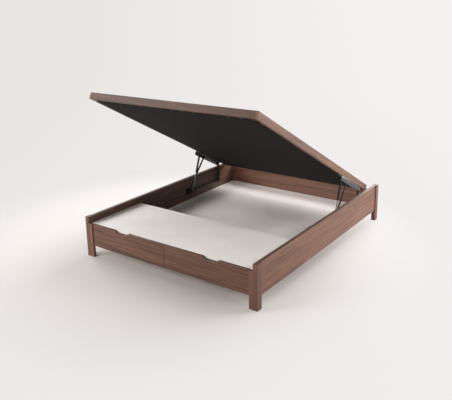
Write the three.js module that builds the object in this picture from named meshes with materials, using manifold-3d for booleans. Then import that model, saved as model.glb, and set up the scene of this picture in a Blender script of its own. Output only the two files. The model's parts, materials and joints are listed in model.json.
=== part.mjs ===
// Lift-up storage bed base: a board frame on four legs, two drawers under a cover board at the foot,
// a storage well behind them, and an upholstered lid that rises on a four-bar lift with gas struts.
// Millimetres. X is the bed's width, -Y its foot end with the drawers, +Z up, origin on the floor.
import * as THREE from 'three';
import { mergeVertices } from 'three/addons/utils/BufferGeometryUtils.js';
import Module from 'manifold-3d';

const wasm = await Module();
wasm.setup();

// Overall frame
const bedWidth = 1570;
const bedLength = 1960;
const frameHeight = 320;
const railBottomHeight = 90;
const lidSeatHeight = 270;
const partGap = 0.3;
const cutPast = 1;

// Legs, each a full-height stile with a shorter block glued to its side, flush at the bed's end. The foot
// legs' blocks stand on the floor and are thin, to clear the drawers. The head legs' blocks are as deep as
// the stile, and end at the rails' bottom.
const legDepth = 50;
const blockWidth = 32;
const footBlockDepth = 20;

// Rails
const railThickness = 28;
const railRecess = 7;

// Drawer bay at the foot end
const coverTop = 266;
const coverThickness = 16;
const bayDepth = 546;
const bayBackThickness = 16;
const dividerThickness = 16;
const bearerThickness = 12;
const bearerDepth = 60;

// Drawers
const frontThickness = 19;
const frontRecess = 7;
const frontGap = 3;
const frontTopGap = 1;
const frontBottomGap = 2;
const coverGap = 3;
const drawerDepth = 500;
const drawerBoard = 12;
const drawerBase = 6;
const drawerHeight = 130;
const drawerBottomGap = 6;
const notchCentre = 410;
const notchTopWidth = 136;
const notchBottomWidth = 78;
const notchDepth = 20;

// Drawer runners: a fixed channel on the bay and a rail on the drawer that slides inside it
const runnerHeight = 40;
const runnerThickness = 6;
const runnerSlideGap = 0.5;
const runnerRise = 45;
const runnerSheet = 1.5;
const runnerEndGap = 12;
const railTongue = 24;

// Storage floor
const cleatHeight = 14;
const cleatWidth = 20;
const floorThickness = 8;
const floorSeam = -20;
const beamHeight = 40;
const beamWidth = 60;
const secondBeam = 480;
const footRadius = 22;
const footPadRadius = 30;
const footPadHeight = 6;

// Screw heads
const screwRadius = 5;
const screwHeadHeight = 2.5;

// Lid, described flat: it runs from its head edge at y = 0 towards -y, underside at z = 0
const lidSideGap = 15;
const lidEndMargin = 5;
const lidRimThickness = 20;
const lidRimHeight = 50;
const lidBaseThickness = 6;
const lidTopThickness = 9;
const fabricThickness = 5;
const fabricProud = 2.5;
const battenWidth = 60;
const battenCount = 9;
const linerThickness = 1.5;
const linerInset = 25;
const linerHeadInset = 38;
const linerCorner = 55;

// Lid placed open: how far its lower head edge stands in from the bed's head end, its height and its tilt
const lidOpenSetback = 165;
const lidOpenHeight = 300.5;
const lidOpenTilt = THREE.MathUtils.degToRad(28.4);
const lidRestGap = 0.5;

// Lift mechanism, as distances from the lid's head edge and below its underside
const rearPivotAlong = 156;
const rearPivotBelow = 25;
const frontPivotAlong = 410;
const frontPivotBelow = 24;
const strutPivotAlong = 503;
const strutPivotBelow = 20;
const rearPivotHeight = 190;
const frontPivotHeight = 203;
const strutFootSetback = 734;
const strutFootHeight = 187;
const lowerPlateThickness = 3;
const lowerPlateMargin = 18;
const lowerBarHeight = 30;
const lowerBoltCount = 3;
const armThickness = 6;
const armSideGap = 1;
const rearArmLowRadius = 16;
const rearArmTopRadius = 12;
const frontArmRadius = 8.5;
const pivotRadius = 4.7;
const pivotHeadRadius = 8.5;
const pivotHeadHeight = 3.5;
const rivetSink = 1;
const upperPlateInset = 1;
const upperPlateThickness = 3;
const upperPlateDrop = 38;
const upperPlateShelf = 33;
const upperPlateRearMargin = 22;
const upperPlateFrontMargin = 42;
const upperHoleRadius = 5;
const upperHoleCount = 5;
const upperScrewCount = 4;

// Gas struts
const strutSideGap = 1.5;
const strutRadius = 9;
const strutBore = 4.6;
const strutLength = 160;
const strutEyeRadius = 9;
const strutEyeThickness = 8;
const strutNeck = 14;
const strutWall = 8;
const rodRadius = 4;
const rodReserve = 25;
const eyeOverlap = 2;

// Finishes
const finish = (color, roughness, metalness = 0) =>
  new THREE.MeshStandardMaterial({ color, roughness, metalness });
const walnut = finish('#7a5848', 0.55);
const darkWalnut = finish('#5d4136', 0.6);
const whiteBoard = finish('#e9e4de', 0.5);
const plainWood = finish('#c9a98a', 0.7);
const blackSteel = finish('#1d1c1c', 0.4, 0.7);
const greySteel = finish('#a9abac', 0.35, 0.9);
const blackCloth = finish('#2b2524', 0.95);
const topCloth = finish('#3a3433', 0.95);
const blackPlastic = finish('#222222', 0.6);

// Places worked out from the sizes
const halfWidth = bedWidth / 2;
const halfLength = bedLength / 2;
const railOuter = halfWidth - railRecess;
const railInner = railOuter - railThickness;
const stileInner = railInner;
const blockInner = stileInner - blockWidth;
const legInnerY = halfLength - legDepth;
const headRailInner = halfLength - railRecess - railThickness;
const frontFace = -halfLength + frontRecess;
const frontBack = frontFace + frontThickness;
const coverFront = frontBack + coverGap;
const bayBackRear = coverFront + bayDepth;
const bayBackFront = bayBackRear - bayBackThickness;
const coverBottom = coverTop - coverThickness;
const floorBottom = railBottomHeight + cleatHeight;
const spacerInner = blockInner;
const bearerTop = railBottomHeight + frontBottomGap + bearerThickness;
const drawerBottom = bearerTop + drawerBottomGap;
const runnerBottom = drawerBottom + runnerRise;
const runnerSpan = runnerThickness * 2 + runnerSlideGap;
const drawerOuter = spacerInner - runnerSpan;
const drawerInner = dividerThickness / 2 + runnerSpan;
const drawerRear = frontBack + drawerDepth;
const lidWidth = 2 * (railInner - lidSideGap);
const lidLength = bedLength - 2 * lidEndMargin;
const lidOpenY = halfLength - lidOpenSetback;

const group = new THREE.Group();
const lid = new THREE.Group();
lid.position.set(0, lidOpenY, lidOpenHeight);
lid.rotation.x = -lidOpenTilt;
group.add(lid);

function add(name, geometry, material, parent = group) {
  const mesh = new THREE.Mesh(geometry, material);
  mesh.name = name;
  parent.add(mesh);
  return mesh;
}

// A board between two corners, whatever their order
function board(x0, x1, y0, y1, z0, z1) {
  const shape = new THREE.BoxGeometry(Math.abs(x1 - x0), Math.abs(y1 - y0), Math.abs(z1 - z0));
  return shape.translate((x0 + x1) / 2, (y0 + y1) / 2, (z0 + z1) / 2);
}

function solid(geometry) {
  const bare = geometry.clone();
  bare.deleteAttribute('normal');
  bare.deleteAttribute('uv');
  const merged = mergeVertices(bare, 1e-4);
  const mesh = new wasm.Mesh({
    numProp: 3,
    vertProperties: new Float32Array(merged.attributes.position.array),
    triVerts: new Uint32Array(merged.index.array),
  });
  return new wasm.Manifold(mesh);
}

function geometryOf(manifold) {
  const mesh = manifold.getMesh();
  const geometry = new THREE.BufferGeometry();
  geometry.setAttribute('position', new THREE.BufferAttribute(new Float32Array(mesh.vertProperties), 3));
  geometry.setIndex(new THREE.BufferAttribute(new Uint32Array(mesh.triVerts), 1));
  geometry.computeVertexNormals();
  return geometry;
}

function cut(geometry, cutters) {
  return geometryOf(cutters.reduce((body, cutter) => body.subtract(solid(cutter)), solid(geometry)));
}

function join(shapes) {
  return geometryOf(shapes.map(solid).reduce((body, shape) => body.add(shape)));
}

const axisX = new THREE.Vector3(1, 0, 0);
const axisY = new THREE.Vector3(0, 1, 0);
const axisZ = new THREE.Vector3(0, 0, 1);

// An outline drawn in (y, z), made thick along +X from x0
function sidePlate(outline, x0, thickness) {
  const shape = new THREE.ExtrudeGeometry(outline, { depth: thickness, bevelEnabled: false, curveSegments: 10 });
  shape.applyMatrix4(new THREE.Matrix4().makeBasis(axisY, axisZ, axisX));
  return shape.translate(x0, 0, 0);
}

// An outline drawn in (x, z), carried from y0 towards -Y
function alongBed(outline, y0, length) {
  const shape = new THREE.ExtrudeGeometry(outline, { depth: length, bevelEnabled: false, curveSegments: 10 });
  shape.applyMatrix4(new THREE.Matrix4().makeBasis(axisX, axisZ, axisY.clone().negate()));
  return shape.translate(0, y0, 0);
}

function polygon(points) {
  return new THREE.Shape(points.map(([a, b]) => new THREE.Vector2(a, b)));
}

// A round bar across the bed, between two distances inward from a side rail's inner face
function crossBar(side, radius, from, to, y, z, sides = 20) {
  const bar = new THREE.CylinderGeometry(radius, radius, to - from, sides);
  bar.rotateZ(Math.PI / 2);
  return bar.translate(side * (railInner - (from + to) / 2), y, z);
}

// The x where a plate of the lift starts, for a distance inward from the rail
function plateStart(side, from, thickness) {
  return side > 0 ? railInner - from - thickness : from - railInner;
}

// A leg is a full-height stile, as thick as the rail and its recess, and a shorter block glued to its side
function makeLegs() {
  const ends = [['foot', -1, footBlockDepth, 0], ['head', 1, legDepth, railBottomHeight]];
  for (const [endName, endSign, blockDepth, blockBottom] of ends) {
    for (const [sideName, side] of [['left', -1], ['right', 1]]) {
      const joint = side * stileInner;
      const end = endSign * halfLength;
      const stile = board(joint, side * halfWidth, endSign * legInnerY, end, 0, frameHeight);
      const block = board(side * blockInner, joint, end - endSign * blockDepth, end, blockBottom, lidSeatHeight);
      add(`leg_${endName}_${sideName}`, join([stile, block]), walnut);
    }
  }
}

function makeRails() {
  for (const [name, side] of [['side_rail_left', -1], ['side_rail_right', 1]]) {
    const rail = board(side * railInner, side * railOuter, -legInnerY, legInnerY, railBottomHeight, frameHeight);
    add(name, rail, walnut);
  }
  const headOuter = halfLength - railRecess;
  add('head_rail', board(-blockInner, blockInner, headRailInner, headOuter, railBottomHeight, lidSeatHeight), walnut);
}

function makeBay() {
  for (const [name, side] of [['bay_spacer_left', -1], ['bay_spacer_right', 1]]) {
    const [x0, x1] = [side * spacerInner, side * railInner];
    add(name, board(x0, x1, coverFront, bayBackFront, railBottomHeight, coverBottom), whiteBoard);
  }
  const halfDivider = dividerThickness / 2;
  const divider = board(-halfDivider, halfDivider, coverFront, bayBackFront, bearerTop, coverBottom);
  add('bay_divider', divider, whiteBoard);
  add('bay_back', board(-railInner, railInner, bayBackFront, bayBackRear, railBottomHeight, coverBottom), whiteBoard);
  const bearerBottom = bearerTop - bearerThickness;
  const bearerRear = coverFront + bearerDepth;
  const bearer = board(-spacerInner, spacerInner, coverFront, bearerRear, bearerBottom, bearerTop);
  add('bay_bearer', bearer, plainWood);
  const clear = railInner - partGap;
  add('cover_board', board(-clear, clear, coverFront, bayBackRear, coverBottom, coverTop), whiteBoard);
  makeBayRunners();
}

// A channel open towards the drawer, fixed at x and facing the given way
function channelOutline(x, facing) {
  const depth = facing * runnerThickness;
  const sheet = facing * runnerSheet;
  const top = runnerBottom + runnerHeight;
  return polygon([
    [x, runnerBottom], [x + depth, runnerBottom], [x + depth, runnerBottom + runnerSheet],
    [x + sheet, runnerBottom + runnerSheet], [x + sheet, top - runnerSheet],
    [x + depth, top - runnerSheet], [x + depth, top], [x, top],
  ]);
}

function makeBayRunners() {
  const rear = bayBackFront - runnerEndGap;
  const front = -legInnerY + runnerEndGap;
  const channels = [
    ['bay_runner_left_outer', channelOutline(-spacerInner, 1)],
    ['bay_runner_left_inner', channelOutline(-dividerThickness / 2, -1)],
    ['bay_runner_right_inner', channelOutline(dividerThickness / 2, 1)],
    ['bay_runner_right_outer', channelOutline(spacerInner, -1)],
  ];
  for (const [name, outline] of channels) add(name, alongBed(outline, rear, rear - front), greySteel);
}

function frontOutline(side) {
  const inner = side * frontGap / 2;
  const outer = side * (blockInner - frontGap);
  const bottom = railBottomHeight + frontBottomGap;
  const top = lidSeatHeight - frontTopGap;
  const centre = side * notchCentre;
  const halfTop = side * notchTopWidth / 2;
  const halfBottom = side * notchBottomWidth / 2;
  return polygon([
    [inner, bottom], [outer, bottom], [outer, top], [centre + halfTop, top],
    [centre + halfBottom, top - notchDepth], [centre - halfBottom, top - notchDepth],
    [centre - halfTop, top], [inner, top],
  ]);
}

function makeDrawer(name, side) {
  const top = drawerBottom + drawerHeight;
  const outer = side * drawerOuter;
  const inner = side * drawerInner;
  const outerWall = outer - side * drawerBoard;
  const innerWall = inner + side * drawerBoard;
  const backFront = drawerRear - drawerBoard;
  add(`${name}_front`, alongBed(frontOutline(side), frontBack, frontThickness), walnut);
  const middle = runnerBottom + runnerHeight / 2;
  const tongue = runnerSpan - runnerSheet - runnerSlideGap;
  for (const [place, x, wall, facing] of [['outer', outer, outerWall, side], ['inner', inner, innerWall, -side]]) {
    const plank = board(x, wall, frontBack, drawerRear, drawerBottom, top);
    const [low, high] = [middle - railTongue / 2, middle + railTongue / 2];
    const rail = board(x - facing, x + facing * tongue, frontBack, drawerRear, low, high);
    add(`${name}_${place}_side`, join([plank, rail]), whiteBoard);
  }
  add(`${name}_back`, board(innerWall, outerWall, backFront, drawerRear, drawerBottom, top), whiteBoard);
  const baseTop = drawerBottom + drawerBase;
  add(`${name}_base`, board(innerWall, outerWall, frontBack, backFront, drawerBottom, baseTop), whiteBoard);
}

function makeFloor() {
  const clear = railInner - partGap;
  const floorTop = floorBottom + floorThickness;
  const seamGap = partGap / 2;
  const firstEnd = floorSeam - seamGap;
  const secondStart = floorSeam + seamGap;
  const headEnd = headRailInner - partGap;
  add('floor_panel_foot', board(-clear, clear, bayBackRear, firstEnd, floorBottom, floorTop), whiteBoard);
  const plainPanel = board(-clear, clear, secondStart, headEnd, floorBottom, floorTop);
  const [below, above] = [floorBottom - cutPast, floorTop + cutPast];
  const legCorners = [-1, 1].map((side) => board(
    side * (blockInner - partGap), side * (clear + cutPast), legInnerY - partGap, headEnd + cutPast, below, above,
  ));
  add('floor_panel_head', cut(plainPanel, legCorners), whiteBoard);
  const cleatInner = railInner - cleatWidth;
  for (const [name, side] of [['floor_cleat_left', -1], ['floor_cleat_right', 1]]) {
    const [x0, x1] = [side * cleatInner, side * railInner];
    add(name, board(x0, x1, bayBackRear, legInnerY, railBottomHeight, floorBottom), plainWood);
  }
  const beamBottom = floorBottom - beamHeight;
  const beamEnd = cleatInner - partGap;
  for (const [name, y] of [['middle', floorSeam], ['head', secondBeam]]) {
    const [y0, y1] = [y - beamWidth / 2, y + beamWidth / 2];
    add(`floor_beam_${name}`, board(-beamEnd, beamEnd, y0, y1, beamBottom, floorBottom), plainWood);
    const profile = [
      [0, 0], [footPadRadius, 0], [footPadRadius, footPadHeight],
      [footRadius, footPadHeight], [footRadius, beamBottom], [0, beamBottom],
    ].map(([r, h]) => new THREE.Vector2(r, h));
    const foot = new THREE.LatheGeometry(profile, 24);
    foot.rotateX(Math.PI / 2);
    add(`centre_foot_${name}`, foot.translate(0, y, 0), blackPlastic);
  }
}

// Where a point of the lid is, along and below its underside, when open and when closed
function openPoint(along, below) {
  const [c, s] = [Math.cos(lidOpenTilt), Math.sin(lidOpenTilt)];
  return { y: lidOpenY - along * c - below * s, z: lidOpenHeight + along * s - below * c };
}

function closedPoint(along, below) {
  return { y: halfLength - lidEndMargin - along, z: lidSeatHeight + lidRestGap - below };
}

// The fixed pivot at a chosen height that keeps the same arm length open and closed
function fixedPivot(open, closed, height) {
  const middle = { y: (open.y + closed.y) / 2, z: (open.z + closed.z) / 2 };
  const y = middle.y - (height - middle.z) * (closed.z - open.z) / (closed.y - open.y);
  return { y, z: height };
}

const rearTop = openPoint(rearPivotAlong, rearPivotBelow);
const frontTop = openPoint(frontPivotAlong, frontPivotBelow);
const strutTop = openPoint(strutPivotAlong, strutPivotBelow);
const rearFoot = fixedPivot(rearTop, closedPoint(rearPivotAlong, rearPivotBelow), rearPivotHeight);
const frontFoot = fixedPivot(frontTop, closedPoint(frontPivotAlong, frontPivotBelow), frontPivotHeight);
const strutFoot = { y: halfLength - strutFootSetback, z: strutFootHeight };

// Distances inward from the rail's inner face: the lid's bracket, then the arms, then the struts
const upperFrom = lidSideGap + upperPlateInset;
const upperTo = upperFrom + upperPlateThickness;
const armFrom = upperTo + armSideGap;
const armTo = armFrom + armThickness;
const strutOffset = armTo + strutSideGap + strutRadius;

// A flat bar with a round end at each pivot, wide enough for its two radii
function armOutline(low, high, lowRadius, highRadius) {
  const slope = Math.atan2(high.z - low.z, high.y - low.y);
  const length = Math.hypot(high.z - low.z, high.y - low.y);
  const lean = Math.acos((lowRadius - highRadius) / length);
  const outline = new THREE.Shape();
  outline.absarc(low.y, low.z, lowRadius, slope + lean, slope - lean + 2 * Math.PI, false);
  outline.absarc(high.y, high.z, highRadius, slope - lean, slope + lean, false);
  return outline;
}

function arm(side, low, high, lowRadius, highRadius, holes) {
  const outline = armOutline(low, high, lowRadius, highRadius);
  const plate = sidePlate(outline, plateStart(side, armFrom, armThickness), armThickness);
  const [from, to] = [armFrom - cutPast, armTo + cutPast];
  const bores = holes.map((p) => crossBar(side, pivotRadius + partGap, from, to, p.y, p.z));
  return cut(plate, bores);
}

// A pivot: its seat on one side of the bar, the shaft through it, and its head
function pivot(side, spans, y, z) {
  return join(spans.map(([radius, from, to]) => crossBar(side, radius, from, to, y, z)));
}

// A flat bar bolted to the rail, with a taller plate at its front for the arm's and the strut's pivots
function makeLowerBracket(name, side) {
  const x0 = plateStart(side, 0, lowerPlateThickness);
  const plateLow = Math.min(strutFoot.z, frontFoot.z) - lowerPlateMargin;
  const plateHigh = Math.max(strutFoot.z, frontFoot.z) + lowerPlateMargin;
  const front = frontFoot.y - lowerPlateMargin;
  const back = strutFoot.y + lowerPlateMargin;
  const rear = rearFoot.y + lowerPlateMargin;
  const [barLow, barHigh] = [rearFoot.z - lowerBarHeight / 2, rearFoot.z + lowerBarHeight / 2];
  const outline = polygon([
    [front, plateLow], [back, plateLow], [back + lowerPlateMargin, barLow], [rear, barLow],
    [rear, barHigh], [back + lowerPlateMargin, barHigh], [back, plateHigh], [front, plateHigh],
  ]);
  const plate = sidePlate(outline, x0, lowerPlateThickness);
  add(name, join([plate, ...lowerFixings(side)]), blackSteel);
}

// The three riveted pivots of a lower bracket and the bolts that hold it to the rail
function lowerFixings(side) {
  const sunk = lowerPlateThickness - rivetSink;
  const armClear = armTo + partGap;
  const shaft = [pivotRadius, sunk, armClear + rivetSink];
  const seat = [pivotHeadRadius, sunk, armFrom - partGap];
  const head = [pivotHeadRadius, armClear, armClear + pivotHeadHeight];
  const fixings = [rearFoot, frontFoot].map((p) => pivot(side, [seat, shaft, head], p.y, p.z));
  const eyeFrom = strutOffset - strutEyeThickness / 2 - partGap;
  const eyeTo = strutOffset + strutEyeThickness / 2 + partGap;
  const eyeSeat = [pivotHeadRadius, sunk, eyeFrom];
  const eyeShaft = [pivotRadius, eyeFrom - rivetSink, eyeTo + rivetSink];
  const eyeHead = [pivotHeadRadius, eyeTo, eyeTo + pivotHeadHeight];
  fixings.push(pivot(side, [eyeSeat, eyeShaft, eyeHead], strutFoot.y, strutFoot.z));
  const first = strutFoot.y + lowerPlateMargin * 3;
  const last = rearFoot.y - lowerPlateMargin * 2;
  for (let i = 0; i < lowerBoltCount; i += 1) {
    const y = first + (last - first) * i / (lowerBoltCount - 1);
    fixings.push(crossBar(side, screwRadius, sunk, lowerPlateThickness + screwHeadHeight, y, rearFoot.z, 12));
  }
  return fixings;
}

function makeArms() {
  for (const [name, side] of [['left', -1], ['right', 1]]) {
    const rear = arm(side, rearFoot, rearTop, rearArmLowRadius, rearArmTopRadius, [rearFoot, rearTop]);
    add(`rear_arm_${name}`, rear, blackSteel);
    const front = arm(side, frontFoot, frontTop, frontArmRadius, frontArmRadius, [frontFoot]);
    const stub = crossBar(side, pivotRadius, upperTo + partGap, armFrom + rivetSink, frontTop.y, frontTop.z);
    add(`front_arm_${name}`, join([front, stub]), blackSteel);
  }
}

// A gas strut lies along its own line, from its foot to its top pivot
function makeStruts() {
  const slope = Math.atan2(strutTop.z - strutFoot.z, strutTop.y - strutFoot.y);
  const span = Math.hypot(strutTop.z - strutFoot.z, strutTop.y - strutFoot.y);
  const mouth = span - strutNeck - strutLength;
  for (const [name, side] of [['left', -1], ['right', 1]]) {
    const holder = new THREE.Group();
    holder.position.set(side * (railInner - strutOffset), strutFoot.y, strutFoot.z);
    holder.rotation.x = slope;
    group.add(holder);
    const rodEnd = mouth + rodReserve;
    const rodStart = strutEyeRadius - eyeOverlap;
    const rod = new THREE.CylinderGeometry(rodRadius, rodRadius, rodEnd - rodStart, 20);
    rod.translate(0, (rodEnd + rodStart) / 2, 0);
    const lowEye = eye(0);
    const hole = flatDisc(pivotRadius + partGap, strutEyeThickness + 2 * cutPast, 0);
    add(`strut_rod_${name}`, cut(join([rod, lowEye]), [hole]), greySteel, holder);
    const wall = new THREE.CylinderGeometry(strutRadius, strutRadius, strutLength, 28);
    wall.translate(0, mouth + strutLength / 2, 0);
    const bore = new THREE.CylinderGeometry(strutBore, strutBore, strutLength, 20);
    bore.translate(0, mouth + strutLength / 2 - strutWall, 0);
    const stub = new THREE.CylinderGeometry(pivotRadius, pivotRadius, strutOffset - upperTo - partGap, 20);
    stub.rotateZ(Math.PI / 2);
    stub.translate(side * (strutOffset - upperTo - partGap) / 2, span, 0);
    const neckRadius = strutEyeThickness / 2;
    const neck = new THREE.CylinderGeometry(neckRadius, neckRadius, strutNeck + eyeOverlap, 16);
    neck.translate(0, span - strutNeck / 2, 0);
    const body = join([cut(wall, [bore]), neck, eye(span), stub]);
    add(`strut_cylinder_${name}`, body, blackSteel, holder);
  }
}

function flatDisc(radius, thickness, along) {
  const disc = new THREE.CylinderGeometry(radius, radius, thickness, 24);
  disc.rotateZ(Math.PI / 2);
  return disc.translate(0, along, 0);
}

function eye(along) {
  return flatDisc(strutEyeRadius, strutEyeThickness, along);
}

function makeLid() {
  const half = lidWidth / 2;
  const inner = half - lidRimThickness;
  const fit = inner - partGap;
  const footInner = -lidLength + lidRimThickness;
  const headInner = -lidRimThickness;
  for (const [name, side] of [['lid_rim_left', -1], ['lid_rim_right', 1]]) {
    add(name, board(side * inner, side * half, -lidLength, 0, 0, lidRimHeight), walnut, lid);
  }
  add('lid_rim_foot', board(-fit, fit, -lidLength, footInner, 0, lidRimHeight), walnut, lid);
  add('lid_rim_head', board(-fit, fit, headInner, 0, 0, lidRimHeight), walnut, lid);
  const y0 = footInner + partGap;
  const y1 = headInner - partGap;
  add('lid_base_panel', board(-fit, fit, y0, y1, 0, lidBaseThickness), darkWalnut, lid);
  const battenBottom = lidBaseThickness + partGap;
  const fabricBottom = lidRimHeight + fabricProud - fabricThickness;
  const topBottom = fabricBottom - partGap - lidTopThickness;
  const battenTop = topBottom - partGap;
  const ladder = [-1, 1].map((side) => {
    const [x0, x1] = [side * (fit - battenWidth), side * fit];
    return board(x0, x1, y0, y1, battenBottom, battenTop);
  });
  for (let i = 0; i < battenCount; i += 1) {
    const y = y0 + battenWidth / 2 + (y1 - y0 - battenWidth) * i / (battenCount - 1);
    ladder.push(board(-fit, fit, y - battenWidth / 2, y + battenWidth / 2, battenBottom, battenTop));
  }
  add('lid_batten_frame', join(ladder), plainWood, lid);
  add('lid_top_board', board(-fit, fit, y0, y1, topBottom, topBottom + lidTopThickness), plainWood, lid);
  add('lid_top_fabric', board(-fit, fit, y0, y1, fabricBottom, fabricBottom + fabricThickness), topCloth, lid);
  makeLiner();
  makeUpperBrackets();
}

// The black lining is a sheet with round corners, stapled to the underside
function makeLiner() {
  const x = lidWidth / 2 - linerInset;
  const low = -lidLength + linerInset;
  const high = -linerHeadInset;
  const r = linerCorner;
  const outline = new THREE.Shape();
  outline.absarc(x - r, high - r, r, 0, Math.PI / 2, false);
  outline.absarc(-x + r, high - r, r, Math.PI / 2, Math.PI, false);
  outline.absarc(-x + r, low + r, r, Math.PI, Math.PI * 1.5, false);
  outline.absarc(x - r, low + r, r, Math.PI * 1.5, Math.PI * 2, false);
  const liner = new THREE.ExtrudeGeometry(outline, { depth: linerThickness, bevelEnabled: false, curveSegments: 10 });
  add('lid_liner', liner.translate(0, 0, -linerThickness - partGap), blackCloth, lid);
}

// Angle brackets under the lid, each with a downward plate that carries the pivots
function makeUpperBrackets() {
  const top = -linerThickness - 2 * partGap;
  const start = -rearPivotAlong + upperPlateRearMargin;
  const end = -strutPivotAlong - upperPlateFrontMargin;
  for (const [name, side] of [['left', -1], ['right', 1]]) {
    const outer = side * (railInner - upperFrom);
    const inner = side * (railInner - upperTo);
    const shelf = side * (railInner - upperFrom - upperPlateShelf);
    const under = top - upperPlateThickness;
    const outline = polygon([
      [outer, top], [outer, top - upperPlateDrop], [inner, top - upperPlateDrop],
      [inner, under], [shelf, under], [shelf, top],
    ]);
    const angle = alongBed(outline, start, start - end);
    const [from, to] = [upperFrom - cutPast, upperTo + cutPast];
    const holes = [crossBar(side, pivotRadius + partGap, from, to, -rearPivotAlong, -rearPivotBelow)];
    for (let i = 1; i <= upperHoleCount; i += 1) {
      const y = -rearPivotAlong - (frontPivotAlong - rearPivotAlong) * i / (upperHoleCount + 1);
      holes.push(crossBar(side, upperHoleRadius, from, to, y, -frontPivotBelow, 14));
    }
    const screwX = side * (railInner - upperTo - upperPlateShelf / 2);
    const screws = [];
    for (let i = 0; i < upperScrewCount; i += 1) {
      const head = new THREE.CylinderGeometry(screwRadius, screwRadius, screwHeadHeight + rivetSink, 12);
      head.rotateX(Math.PI / 2);
      const [first, last] = [start - upperPlateRearMargin, end + upperPlateRearMargin];
      const y = first + (last - first) * i / (upperScrewCount - 1);
      screws.push(head.translate(screwX, y, under - (screwHeadHeight - rivetSink) / 2));
    }
    add(`upper_bracket_${name}`, join([cut(angle, holes), ...screws]), blackSteel, lid);
    const [outerSeat, innerSeat] = [upperFrom - partGap, armTo + partGap];
    const shaft = [pivotRadius, outerSeat - rivetSink, innerSeat + rivetSink];
    const outerHead = [pivotHeadRadius, outerSeat - pivotHeadHeight, outerSeat];
    const innerHead = [pivotHeadRadius, innerSeat, innerSeat + pivotHeadHeight];
    const pin = pivot(side, [outerHead, shaft, innerHead], -rearPivotAlong, -rearPivotBelow);
    add(`lid_pivot_${name}`, pin, greySteel, lid);
  }
}

makeLegs();
makeRails();
makeBay();
makeDrawer('drawer_left', -1);
makeDrawer('drawer_right', 1);
makeFloor();
makeLowerBracket('lower_bracket_left', -1);
makeLowerBracket('lower_bracket_right', 1);
makeArms();
makeStruts();
makeLid();

export default group;
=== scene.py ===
import json
import math

import bmesh
import bpy
import numpy as np
from mathutils import Matrix, Vector

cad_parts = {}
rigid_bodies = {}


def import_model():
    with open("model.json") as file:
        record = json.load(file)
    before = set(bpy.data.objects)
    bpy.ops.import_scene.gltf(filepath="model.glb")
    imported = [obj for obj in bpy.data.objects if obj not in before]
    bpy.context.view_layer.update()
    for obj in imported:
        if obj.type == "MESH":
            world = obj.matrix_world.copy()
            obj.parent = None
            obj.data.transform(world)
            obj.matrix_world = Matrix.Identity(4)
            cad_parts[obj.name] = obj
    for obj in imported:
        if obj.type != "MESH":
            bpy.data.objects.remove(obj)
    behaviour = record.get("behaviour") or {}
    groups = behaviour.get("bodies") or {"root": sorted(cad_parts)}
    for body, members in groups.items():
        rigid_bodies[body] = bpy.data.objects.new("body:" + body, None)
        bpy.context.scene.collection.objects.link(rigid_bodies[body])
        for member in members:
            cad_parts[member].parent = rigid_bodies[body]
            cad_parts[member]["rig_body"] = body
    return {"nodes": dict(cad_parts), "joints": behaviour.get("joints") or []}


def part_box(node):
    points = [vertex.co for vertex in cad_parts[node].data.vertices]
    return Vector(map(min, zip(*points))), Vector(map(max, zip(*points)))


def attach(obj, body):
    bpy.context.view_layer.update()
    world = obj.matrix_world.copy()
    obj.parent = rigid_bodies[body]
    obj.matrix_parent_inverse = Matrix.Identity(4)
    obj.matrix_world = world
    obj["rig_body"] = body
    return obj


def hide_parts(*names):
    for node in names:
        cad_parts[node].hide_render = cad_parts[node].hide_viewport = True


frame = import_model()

bl_info = {
    "name": "Lift-up Storage Bed Base",
    "version": (1, 0, 0),
    "blender": (4, 5, 0),
    "location": "3D Viewport > Sidebar > Storage Bed",
    "description": "Dresses a lift-up storage bed base and sets up its studio stage",
    "category": "Add Mesh",
}

MM = 0.001
IMAGE_WIDTH = 452
SIDES = ("left", "right")
ENDS = ("foot", "head")
LID_TILT = math.radians(28.4)
PLATE = 3 * MM               # Sheet of the pressed brackets and the drawers' rails
JOINTS = {joint["name"]: joint for joint in frame["joints"]}


def to_linear(code):
    """sRGB hex to linear light, by the two-part sRGB curve, with full opacity."""
    channels = np.array([int(code[i:i + 2], 16) for i in (1, 3, 5)]) / 255
    linear = np.where(channels <= 0.04045, channels / 12.92, ((channels + 0.055) / 1.055) ** 2.4)
    return (*[float(c) for c in linear], 1.0)


def size_property(name, description, millimetres):
    return bpy.props.FloatProperty(name=name, description=description, default=millimetres * MM,
                                   unit="LENGTH", subtype="DISTANCE", precision=5)


def colour_property(name, description, code):
    return bpy.props.FloatVectorProperty(name=name, description=description, default=to_linear(code),
                                         size=4, min=0, max=1, subtype="COLOR")


class BedSizes(bpy.types.PropertyGroup):
    """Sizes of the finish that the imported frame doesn't give."""
    edge_round: size_property("Board edge", "Radius of the edge banding on the boards", 1.0)
    lid_edge_round: size_property("Lid edge", "Radius on the lid's rim boards", 1.5)
    steel_round: size_property("Steel edge", "Radius on the pressed steel fittings", 0.5)
    fabric_crown: size_property("Fabric crown", "How far the lid's fabric swells in its middle", 5.0)
    welt_radius: size_property("Welt", "Radius of the cord sewn round the lid's fabric", 2.6)
    lining_sag: size_property("Lining sag", "Depth of the ripples in the black lining", 1.2)
    staple_pitch: size_property("Staple pitch", "Distance between the staples of the lining", 95.0)
    staple_length: size_property("Staple length", "Length of a staple's crown", 12.0)


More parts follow.
